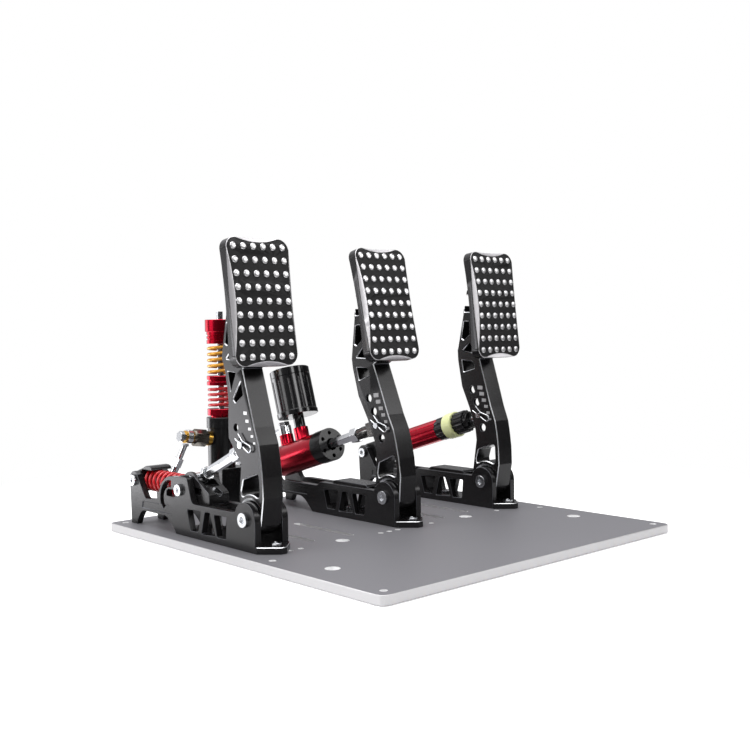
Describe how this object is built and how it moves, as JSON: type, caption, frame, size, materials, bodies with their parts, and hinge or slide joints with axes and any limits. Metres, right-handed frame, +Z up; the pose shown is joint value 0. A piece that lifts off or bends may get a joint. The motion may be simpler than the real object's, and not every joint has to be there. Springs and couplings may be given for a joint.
{
  "type": "sim racing pedal set",
  "caption": "Racing simulator pedal set: clutch, brake and throttle arms with studded pads, springs, hydraulic brake cylinder and reservoir, bolted to one base plate.",
  "frame": {"origin": "centre of the base plate's underside", "axes": "+X to the driver's right, +Y away from the driver, +Z up"},
  "size_m": [0.3808, 0.405, 0.2788],
  "materials": {
    "grey_plate": "satin powder coat",
    "black_anodised": "black anodised, satin",
    "pad_black": "black grained face, bare metal studs and scoops",
    "red_anodised": "red anodised, glossy",
    "polished_steel": "polished",
    "dark_steel": "blackened",
    "bronze": "plain bearing bronze",
    "brass": "bright",
    "red_spring_steel": "red coated",
    "gold_spring_steel": "gold coated",
    "reservoir_black": "satin black",
    "braided_hose": "braided wire under clear sleeve",
    "urethane": "pale yellow-green urethane"
  },
  "bodies": {
    "frame": {"base_plate": "grey_plate", "clutch_left_plate": "black_anodised", "clutch_right_plate": "black_anodised", "brake_left_plate": "black_anodised", "brake_right_plate": "black_anodised", "throttle_left_plate": "black_anodised", "throttle_right_plate": "black_anodised", "clutch_foot": "black_anodised", "brake_foot": "black_anodised", "throttle_foot": "black_anodised", "brake_bridge": "black_anodised", "throttle_bridge": "black_anodised", "pivot_shafts": "polished_steel", "pivot_bushes": "bronze", "pivot_screws": "polished_steel", "frame_screws": "polished_steel", "mounting_bolts": "polished_steel", "rear_pins": "polished_steel", "clutch_spring_seat": "black_anodised", "clutch_guide_rod": "polished_steel", "clutch_spring": "red_spring_steel", "master_cylinder": "red_anodised", "master_cap": "black_anodised", "reservoir": "reservoir_black", "reservoir_lid": "reservoir_black", "reservoir_screws": "polished_steel", "hose_fittings": "polished_steel", "brake_hose": "braided_hose", "load_cylinder": "black_anodised", "load_rod": "polished_steel", "load_cap": "red_anodised", "lower_spring": "red_spring_steel", "upper_spring": "gold_spring_steel", "pressure_sensor": "dark_steel", "sealing_washers": "brass", "throttle_tube": "black_anodised"},
    "clutch_pedal": {"clutch_arm": "black_anodised", "clutch_pad": "pad_black", "clutch_pin": "polished_steel"},
    "clutch_link": {"clutch_rod_end": "polished_steel", "clutch_pushrod": "polished_steel", "clutch_jam_nut": "polished_steel"},
    "clutch_slider": {"clutch_carriage": "black_anodised", "carriage_pin": "polished_steel"},
    "brake_pedal": {"brake_arm": "black_anodised", "brake_pad": "pad_black", "brake_pin": "polished_steel"},
    "brake_link": {"brake_clevis": "dark_steel", "brake_pushrod": "polished_steel", "brake_piston": "polished_steel"},
    "throttle_pedal": {"throttle_arm": "black_anodised", "throttle_pad": "pad_black", "throttle_pin": "polished_steel"},
    "throttle_link": {"throttle_rod": "polished_steel", "throttle_sleeve": "red_anodised", "throttle_end_ring": "black_anodised", "throttle_bumper": "urethane", "throttle_knob": "black_anodised"},
    "load_piston_body": {"load_piston": "red_anodised"},
    "load_seat_body": {"load_mid_seat": "red_anodised"}
  },
  "joints": [
    {"name": "clutch_pivot", "type": "hinge", "parent": "frame", "child": "clutch_pedal", "pos_m": [-0.1548, -0.009, 0.0355], "axis": [-1, 0, 0], "range_deg": [0, 18], "stiffness_Nm_per_rad": 6, "springref_deg": -14.32},
    {"name": "clutch_link_pivot", "type": "hinge", "parent": "clutch_pedal", "child": "clutch_link", "pos_m": [-0.1548, 0.001, 0.0995], "axis": [-1, 0, 0], "range_deg": [-22.5, 0]},
    {"name": "clutch_slide", "type": "slide", "parent": "frame", "child": "clutch_slider", "axis": [0, 1, 0], "range_m": [0, 0.0225], "deforming": ["clutch_spring"]},
    {"name": "brake_pivot", "type": "hinge", "parent": "frame", "child": "brake_pedal", "pos_m": [0.01, -0.009, 0.0355], "axis": [-1, 0, 0], "range_deg": [0, 10], "stiffness_Nm_per_rad": 20, "springref_deg": -5.73},
    {"name": "brake_link_pivot", "type": "hinge", "parent": "brake_pedal", "child": "brake_link", "pos_m": [0.01, 0.00557, 0.10449], "axis": [-1, 0, 0], "range_deg": [-10.5, 0]},
    {"name": "load_piston_slide", "type": "slide", "parent": "frame", "child": "load_piston_body", "axis": [0, 0, 1], "range_m": [0, 0.0105], "deforming": ["lower_spring"]},
    {"name": "load_seat_slide", "type": "slide", "parent": "frame", "child": "load_seat_body", "axis": [0, 0, 1], "range_m": [0, 0.0055], "deforming": ["upper_spring"]},
    {"name": "throttle_pivot", "type": "hinge", "parent": "frame", "child": "throttle_pedal", "pos_m": [0.1528, -0.009, 0.0355], "axis": [-1, 0, 0], "range_deg": [0, 18], "stiffness_Nm_per_rad": 4, "springref_deg": -14.32},
    {"name": "throttle_link_pivot", "type": "hinge", "parent": "throttle_pedal", "child": "throttle_link", "pos_m": [0.1528, -0.00111, 0.10557], "axis": [-1, 0, 0], "range_deg": [-18.5, 0]}
  ],
  "couplings": [
    {"joint": "clutch_link_pivot", "follows": "clutch_pivot", "ratio": -1.2086},
    {"joint": "clutch_slide", "follows": "clutch_pivot", "m_per_rad": 0.069455},
    {"joint": "brake_link_pivot", "follows": "brake_pivot", "ratio": -1},
    {"joint": "load_piston_slide", "follows": "brake_pivot", "m_per_rad": 0.0573},
    {"joint": "load_seat_slide", "follows": "brake_pivot", "m_per_rad": 0.02865},
    {"joint": "throttle_link_pivot", "follows": "throttle_pivot", "ratio": -1}
  ]
}
